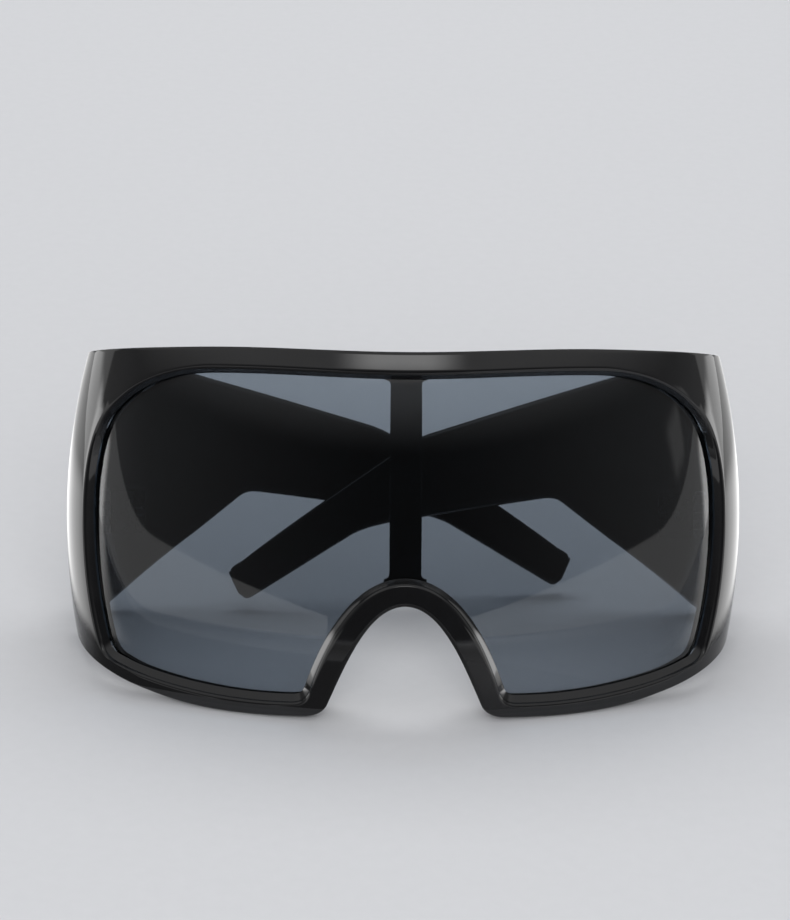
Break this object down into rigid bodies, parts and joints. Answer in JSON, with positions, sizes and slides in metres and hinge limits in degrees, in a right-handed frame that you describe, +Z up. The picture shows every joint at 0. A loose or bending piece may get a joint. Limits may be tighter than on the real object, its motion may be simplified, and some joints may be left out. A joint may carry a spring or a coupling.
{
  "type": "shield sunglasses",
  "caption": "Oversized black shield sunglasses with one wrapped grey-blue lens, a centre bar behind it and wide folding temples.",
  "frame": {"origin": "centre of the bounding box's base, on the surface that the folded glasses stand on", "axes": "+X across the face, from the image's left to its right; +Y back, from the lens towards the folded temples; +Z up from the table"},
  "size_m": [0.1496, 0.075, 0.0728],
  "materials": {
    "moulded_black": "high gloss, moulded",
    "tinted_lens": "polished, neutral grey-blue tint",
    "plated_steel": "black plated, satin"
  },
  "bodies": {
    "front": {"frame_front": "moulded_black", "shield_lens": "tinted_lens", "hinge_leaf_front_left": "plated_steel", "hinge_leaf_front_right": "plated_steel", "hinge_screw_left": "plated_steel", "hinge_screw_right": "plated_steel", "leaf_screw_front_left_1": "plated_steel", "leaf_screw_front_left_2": "plated_steel", "leaf_screw_front_right_1": "plated_steel", "leaf_screw_front_right_2": "plated_steel"},
    "arm_left": {"temple_left": "moulded_black", "hinge_leaf_temple_left": "plated_steel", "leaf_screw_temple_left_1": "plated_steel", "leaf_screw_temple_left_2": "plated_steel"},
    "arm_right": {"temple_right": "moulded_black", "hinge_leaf_temple_right": "plated_steel", "leaf_screw_temple_right_1": "plated_steel", "leaf_screw_temple_right_2": "plated_steel"}
  },
  "joints": [
    {"name": "temple_fold_left", "type": "hinge", "parent": "front", "child": "arm_left", "pos_m": [-0.06755, 0.01747, 0.02267], "axis": [-0.0157, 0.4142, 0.91], "range_deg": [0, 90.4]},
    {"name": "temple_fold_right", "type": "hinge", "parent": "front", "child": "arm_right", "pos_m": [0.06755, 0.01747, 0.02267], "axis": [0.0157, -0.4142, -0.91], "range_deg": [0, 94.6]}
  ]
}
